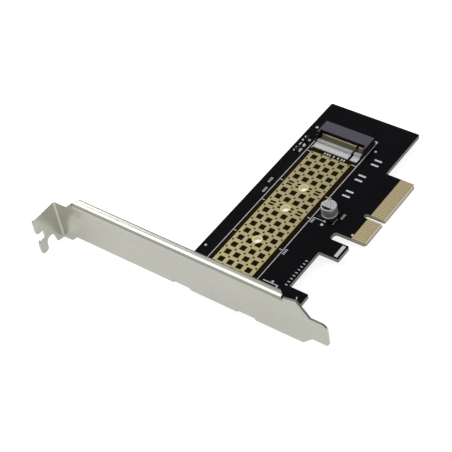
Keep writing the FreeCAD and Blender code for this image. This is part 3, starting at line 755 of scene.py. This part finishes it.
@dataclass
class BoardPrint:
    """White screen print on the component side.

    Attributes:
        ink: The coat of ink.
        line: Width of the outline's lines.
        thin_line: Width of the line below the capacitor.
        upper_y: The drive outline's line on the screw tab's side.
        lower_y: The drive outline's line on the tongue's side.
        far_xs: Where the two lines start beside the socket.
        near_x: Where they end, under the bracket's flange.
        tick: Length of the ticks at the drive sizes.
        tick_xs: The drive sizes.
        socket_end: Short lines that close the outline at the socket.
        part_lines: Lines beside the capacitor and over the bracket's ear.
        dots: Single dots beside the socket, the capacitor, the tongue and the bracket.
        stroke: The short stroke that the groups beside the outline are made of.
        stroke_shifts: The strokes' places along x in one group.
        group_places: Middles of the groups.
        socket_stroke: The wider stroke of the row in front of the socket.
        socket_stroke_ys: The row's strokes.
        pair_bar: The bar that the pairs between capacitor and socket are made of.
        pair_shifts: The bars' places along x in one pair.
        pair_places: Middles of the pairs.
        hook_bar: The broad bar near the hook.
        edge_row_x: The first stroke of the row toward the board's lower edge.
        edge_row_y: The row's line.
        edge_row_pitch: Spacing of its strokes.
        edge_row_strokes: How many strokes it has.
    """

    ink: Ink = Ink(WHITE_INK, level=0.0, thickness=0.025)
    line: float = 0.28
    thin_line: float = 0.196
    upper_y: float = 10.85
    lower_y: float = -11.16
    far_xs: tuple[float, float] = (-4.0, 2.3)
    near_x: float = -84.0
    tick: float = 1.5
    tick_xs: tuple[float, ...] = (-30.0, -42.0, -60.0, -80.0)
    socket_end: tuple[Bar, ...] = (
        Bar(-11.0, -9.9, 2.2, line, 90.0),
        Bar(-12.0, 9.7, 1.6, line, 90.0),
        Bar(-7.9, 9.85, 4.2, line),
    )
    part_lines: tuple[Bar, ...] = (
        # x, y, length, width, turn
        Bar(-40.85, -14.4, 4.0, line, 90.0),
        Bar(-39.1, -19.8, 3.4, thin_line),
        Bar(-74.9, -16.1, 6.2, 0.35, 90.0),
        Bar(-76.5, -16.6, 6.6, 0.35, 90.0),
        Bar(-75.7, -19.2, 1.9, 0.6),
        Bar(-76.4, -28.3, 1.1, 0.4, 30.0),
    )
    dots: tuple[Dot, ...] = (
        # x, y, radius
        Dot(0.62, 14.27, 0.58),
        Dot(-0.64, -13.13, 0.5),
        Dot(3.2, -10.8, 0.45),
        Dot(-42.6, -16.4, 0.58),
        Dot(-41.74, -29.0, 0.5),
        Dot(-71.3, 15.05, 0.5),
        Dot(-74.1, -16.6, 0.5),
    )
    stroke: Bar = Bar(0.0, 0.0, 0.35, 1.0)
    stroke_shifts: tuple[float, ...] = (-1.15, -0.4, 0.35, 1.1)
    group_places: tuple[tuple[float, float], ...] = (
        (-32.1, 13.6), (-37.4, 12.5), (-42.1, -12.2), (-60.2, -12.3), (-35.6, -21.1), (-31.0, -11.9),
    )
    socket_stroke: Bar = Bar(-10.45, 0.0, 0.95, 0.6)
    socket_stroke_ys: tuple[float, ...] = (3.34, 2.17, 1.12, -0.65, -2.59, -4.20, -5.29)
    pair_bar: Bar = Bar(0.0, 0.0, 3.2, 0.8, 90.0)
    pair_shifts: tuple[float, float] = (-1.2, 1.4)
    pair_places: tuple[tuple[float, float], ...] = ((-24.9, -16.2), (-15.7, -15.8), (-6.0, -16.8))
    hook_bar: Bar = Bar(-50.6, -29.4, 5.9, 1.4, corner=0.1)
    edge_row_x: float = -73.0
    edge_row_y: float = -21.6
    edge_row_pitch: float = 1.6
    edge_row_strokes: int = 9

    def outline(self) -> list[Bar]:
        """Lay out the drive's outline.

        Returns:
            Its two long lines, the ticks and the short lines at the socket.
        """
        bars = []
        for y, far_x in zip((self.upper_y, self.lower_y), self.far_xs):
            bars.append(Bar((far_x + self.near_x) / 2, y, far_x - self.near_x, self.line))
            inward = -math.copysign(self.tick / 2, y)
            bars += [Bar(x, y + inward, self.tick, self.line, 90.0) for x in self.tick_xs]
        return bars + list(self.socket_end)

    def strokes(self) -> list[Bar]:
        """Lay out the groups of short strokes and the row in front of the socket.

        Returns:
            The strokes.
        """
        groups = [self.stroke.at(x + shift, y)
                  for x, y in self.group_places for shift in self.stroke_shifts]
        row = [self.socket_stroke.at(self.socket_stroke.x, y) for y in self.socket_stroke_ys]
        return groups + row

    def bars(self) -> list[Bar]:
        """Lay out the pairs of bars, the broad bar and the row at the lower edge.

        Returns:
            The bars.
        """
        pairs = [self.pair_bar.at(x + shift, y) for x, y in self.pair_places for shift in self.pair_shifts]
        row = [self.stroke.at(self.edge_row_x + i * self.edge_row_pitch, self.edge_row_y)
               for i in range(self.edge_row_strokes)]
        return pairs + [self.hook_bar] + row

    def build(self) -> None:
        """Lay all the print."""
        self.ink.lay("drive_outline_print", self.outline())
        self.ink.lay("part_outline_print", list(self.part_lines))
        self.ink.lay("place_dot_print", list(self.dots))
        self.ink.lay("size_stroke_print", self.strokes())
        self.ink.lay("place_bar_print", self.bars())


@dataclass(frozen=True)
class Mound:
    """A low mound of solder.

    Attributes:
        x: Middle in the card frame.
        y: Middle in the card frame.
        length: Size along x.
        width: Size along y.
        height: Height above the board.
    """

    x: float
    y: float
    length: float
    width: float
    height: float

    def model(self) -> bpy.types.Object:
        """Model the mound from a sphere that is cut at the board and drawn out.

        Returns:
            The object.
        """
        leave_nothing_selected()
        bpy.ops.mesh.primitive_uv_sphere_add(segments=MOUND_SEGMENTS, ring_count=MOUND_RINGS, radius=0.5)
        mound = bpy.context.object
        bpy.ops.object.mode_set(mode="EDIT")
        bpy.ops.mesh.select_all(action="SELECT")
        bpy.ops.mesh.bisect(plane_co=(0.0, 0.0, 0.0), plane_no=(0.0, 0.0, 1.0),
                            clear_inner=True, use_fill=True)
        bpy.ops.object.mode_set(mode="OBJECT")
        mound.scale = (self.length * MM, self.width * MM, 2.0 * self.height * MM)
        mound.location = card_point(self.x, self.y, 0.0)
        return mound


@dataclass
class Solder:
    """Solder on the small parts' pads and along the socket's feet.

    Attributes:
        mounds: The mounds at the small parts' legs.
        lead_first_y: The socket's first contact.
        lead_pitch: Spacing of the contacts.
        lead_places: How many places the row has, the bare ones at the key among them.
        bare_ys: Where the key leaves contacts out.
        front_bead: The first bead in front of the socket.
        rear_bead: The first bead behind it.
    """

    mounds: tuple[Mound, ...] = (
        # x, y, length, width, height
        Mound(-6.0, 15.0, 1.1, 0.95, 0.45),
        Mound(-7.95, 14.98, 1.05, 0.95, 0.45),
        Mound(-6.95, 12.7, 1.15, 0.8, 0.3),
        Mound(-10.45, 14.85, 0.8, 0.5, 0.4),
        Mound(-10.4, 12.75, 1.1, 0.8, 0.4),
        Mound(-12.45, 14.98, 0.9, 0.9, 0.45),
        Mound(-14.05, 14.95, 0.85, 0.85, 0.4),
        Mound(-13.15, 12.75, 2.0, 0.85, 0.4),
    )
    lead_first_y: float = 9.25
    lead_pitch: float = 0.5
    lead_places: int = 39
    bare_ys: tuple[float, float] = (-7.0, -6.0)
    front_bead: Mound = Mound(-7.9, lead_first_y, 2.95, 0.44, 0.15)
    rear_bead: Mound = Mound(3.4, lead_first_y, 1.3, 0.44, 0.15)

    def lay_row(self, bead: Mound, name: str) -> None:
        """Model the first bead of a row and copy it to every other contact.

        Args:
            bead: The first bead.
            name: The row's name.
        """
        ys = [self.lead_first_y - i * self.lead_pitch for i in range(self.lead_places)]
        ys = [y for y in ys if not self.bare_ys[0] < y < self.bare_ys[1]]
        first = bead.model()
        others = [copied(first, card_point(bead.x, y, 0.0)) for y in ys[1:]]
        finish_piece(joined_pieces([first] + others), name, SOLDER)

    def build(self) -> None:
        """Model the mounds and both rows."""
        mounds = [mound.model() for mound in self.mounds]
        finish_piece(joined_pieces(mounds), "small_part_solder", SOLDER)
        self.lay_row(self.front_bead, "front_row_solder")
        self.lay_row(self.rear_bead, "rear_row_solder")


@dataclass
class CanPrint:
    """The black segment and the rows of grey strokes on the capacitor's end.

    Attributes:
        x: Middle of the can in the card frame.
        y: Middle of the can in the card frame.
        top: Height of the can's end.
        radius: Radius of the segment.
        chord: Distance of the segment's straight side from the middle, toward the bracket.
        ink: Thickness of the ink.
        stroke: One stroke.
        stroke_shifts: The strokes' places along y in one row.
        row_places: Middles of the rows, from the can's middle.
    """

    x: float = -37.2
    y: float = -16.4
    top: float = 5.29
    radius: float = 2.64
    chord: float = 1.25
    ink: float = 0.02
    stroke: Bar = Bar(0.0, 0.0, 0.6, 0.22, 90.0)
    stroke_shifts: tuple[float, ...] = (-0.95, 0.0, 0.95)
    row_places: tuple[tuple[float, float], ...] = ((-0.5, 0.0), (0.5, -0.1), (1.4, 0.0))

    def lay_strokes(self) -> None:
        """Lay the rows of short strokes."""
        strokes = [self.stroke.at(self.x + row_x, self.y + row_y + shift)
                   for row_x, row_y in self.row_places for shift in self.stroke_shifts]
        Ink(GREY_INK, self.top, self.ink).lay("can_stroke_print", strokes)

    def model_segment(self) -> None:
        """Model the segment from a circle, cut along its chord and drawn up."""
        leave_nothing_selected()
        bpy.ops.mesh.primitive_circle_add(vertices=SEGMENT_POINTS, radius=self.radius * MM,
                                          fill_type="NGON",
                                          location=card_point(self.x, self.y, self.top))
        segment = bpy.context.object
        bpy.ops.object.mode_set(mode="EDIT")
        bpy.ops.mesh.select_all(action="SELECT")
        bpy.ops.mesh.bisect(plane_co=card_point(self.x - self.chord, self.y, self.top),
                            plane_no=(1.0, 0.0, 0.0), clear_outer=True, use_fill=False)
        bpy.ops.mesh.select_all(action="SELECT")
        bpy.ops.mesh.extrude_region_move(TRANSFORM_OT_translate={"value": (0.0, 0.0, self.ink * MM)})
        bpy.ops.object.mode_set(mode="OBJECT")
        finish_piece(segment, "can_polarity_mark", BLACK_INK)

    def build(self) -> None:
        """Lay all that is printed on the can."""
        self.lay_strokes()
        self.model_segment()


@dataclass
class CardFinishes:
    """The finish of every CAD node that stays as it is.

    Attributes:
        by_node: The finishes by the nodes' names.
    """

    by_node: dict[str, Finish] = field(default_factory=lambda: {
        "circuit_board": BOARD,
        "edge_contacts_upper": CONTACT_GOLD,
        "edge_contacts_lower": CONTACT_GOLD,
        "drive_hole_rings": RING_GOLD,
        "pad_field": FIELD_GOLD,
        "bracket": BRACKET_STEEL,
        "bracket_screws": SCREW_NICKEL,
        "socket_housing": HOUSING,
        "socket_front_contacts": LEAD_TIN,
        "socket_rear_contacts": SPRING_GOLD,
        "socket_hold_downs": TIN,
        "socket_lead_pads": TIN,
        "solder_pads": TIN,
        "capacitor_base": BASE,
        "capacitor_can": CAN,
        "capacitor_terminals": TIN,
        "transistor_bodies": EPOXY,
        "transistor_leads": TIN,
        "chip_body": CERAMIC,
        "chip_ends": TIN,
    })

    def apply(self, nodes: dict[str, bpy.types.Object]) -> None:
        """Give each node its finish.

        Args:
            nodes: The CAD nodes by name.
        """
        for name, node in nodes.items():
            node.data.materials.clear()
            node.data.materials.append(self.by_node[name].build())
            LOG.info("%s: %s", name, self.by_node[name].name)


@dataclass(frozen=True)
class SoftBox:
    """A square lamp that faces the card.

    Attributes:
        direction: From the card to the lamp.
        distance: In metres.
        size: In metres.
        radiance: Radiance of its face.
    """

    direction: tuple[float, float, float]
    distance: float
    size: float
    radiance: float

    def build(self) -> None:
        """Hang the lamp."""
        data = bpy.data.lights.new("soft_box", "AREA")
        data.shape = "SQUARE"
        data.size = self.size
        data.energy = self.radiance * math.pi * self.size ** 2
        lamp = bpy.data.objects.new("soft_box", data)
        bpy.context.scene.collection.objects.link(lamp)
        toward = Vector(self.direction).normalized()
        turn = toward.to_track_quat("Z", "Y").to_matrix().to_4x4()
        lamp.matrix_world = Matrix.Translation(toward * self.distance) @ turn


@dataclass
class Studio:
    """Camera, floor, world and lamps.

    Attributes:
        lens_mm: Focal length.
        sensor_mm: Width of the sensor.
        clip_start: Nearest distance that the camera shows, in metres.
        camera_mm: The camera's place in the row frame.
        heading_deg: Turn of the view about the upright axis, from +Y.
        tilt_deg: Turn of the view up from straight down.
        roll_deg: Turn of the picture about the view direction.
        world_level: Radiance of the world.
        floor_size: Side of the floor, in metres.
        floor_gap_mm: How far the floor lies under the card.
        floor_diffuse: Share of light that the floor scatters.
        floor_shown: What the floor adds for the camera.
        floor_mirrored: What the floor adds in reflections.
        lamps: The soft boxes: a wide one overhead, and one far behind that only the flange mirrors.
    """

    lens_mm: float = 111.92
    sensor_mm: float = 36.0
    clip_start: float = 0.01
    camera_mm: tuple[float, float, float] = (-279.37, -248.13, 367.80)
    heading_deg: float = -46.119
    tilt_deg: float = 45.167
    roll_deg: float = -10.900
    world_level: float = 0.5
    floor_size: float = 6.0
    floor_gap_mm: float = 0.1
    floor_diffuse: float = 0.5
    floor_shown: float = 0.85
    floor_mirrored: float = 0.5
    lamps: tuple[SoftBox, ...] = (
        SoftBox((-0.2, 0.47, 0.86), distance=0.8, size=0.46, radiance=2.5),
        SoftBox((0.353, 0.74, 0.565), distance=0.8, size=0.27, radiance=3.5),
    )

    def add_camera(self) -> None:
        """Set the camera at the photograph's viewpoint."""
        data = bpy.data.cameras.new("photo_camera")
        data.lens = self.lens_mm
        data.sensor_width = self.sensor_mm
        data.clip_start = self.clip_start
        camera = bpy.data.objects.new("photo_camera", data)
        bpy.context.scene.collection.objects.link(camera)
        heading = Matrix.Rotation(math.radians(self.heading_deg), 4, "Z")
        tilt = Matrix.Rotation(math.radians(self.tilt_deg), 4, "X")
        roll = Matrix.Rotation(math.radians(self.roll_deg), 4, "Z")
        camera.matrix_world = Matrix.Translation(Vector(self.camera_mm) * MM) @ heading @ tilt @ roll
        bpy.context.scene.camera = camera

    def add_floor(self) -> None:
        """Lay a pale floor just under the card."""
        leave_nothing_selected()
        bpy.ops.mesh.primitive_plane_add(size=self.floor_size, location=(0.0, 0.0, -self.floor_gap_mm * MM))
        floor = bpy.context.object
        floor.name = "studio_floor"
        made = bpy.data.materials.new("pale_floor")
        made.use_nodes = True
        tree = made.node_tree
        tree.nodes.clear()
        rays = add_node(tree, "ShaderNodeLightPath")
        shown = add_node(tree, "ShaderNodeMath", {"operation": "MULTIPLY"},
                         {0: rays.outputs["Is Camera Ray"], 1: self.floor_shown})
        level = add_node(tree, "ShaderNodeMath", {"operation": "MULTIPLY_ADD"},
                         {0: rays.outputs["Is Glossy Ray"], 1: self.floor_mirrored, 2: shown.outputs[0]})
        glow = add_node(tree, "ShaderNodeEmission", {}, {"Strength": level.outputs[0]})
        share = self.floor_diffuse
        matt = add_node(tree, "ShaderNodeBsdfDiffuse", {}, {"Color": (share, share, share, 1.0)})
        total = add_node(tree, "ShaderNodeAddShader", {}, {0: glow.outputs[0], 1: matt.outputs[0]})
        add_node(tree, "ShaderNodeOutputMaterial", {}, {"Surface": total.outputs[0]})
        floor.data.materials.append(made)

    def add_world(self) -> None:
        """Light everything evenly from all round."""
        world = bpy.data.worlds.new("studio_world")
        world.use_nodes = True
        background = world.node_tree.nodes["Background"]
        background.inputs["Color"].default_value = (1.0, 1.0, 1.0, 1.0)
        background.inputs["Strength"].default_value = self.world_level
        bpy.context.scene.world = world

    def build(self) -> None:
        """Set up the whole studio."""
        bpy.context.scene.view_settings.view_transform = "Standard"
        self.add_camera()
        self.add_floor()
        self.add_world()
        for lamp in self.lamps:
            lamp.build()


def main() -> None:
    """Dress the card and set up the studio."""
    logging.basicConfig(level=logging.INFO, format="%(message)s")
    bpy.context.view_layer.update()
    CardFinishes().apply(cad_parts)
    BoardPrint().build()
    Solder().build()
    CanPrint().build()
    Studio().build()
    leave_nothing_selected()


if __name__ == "__main__":
    main()
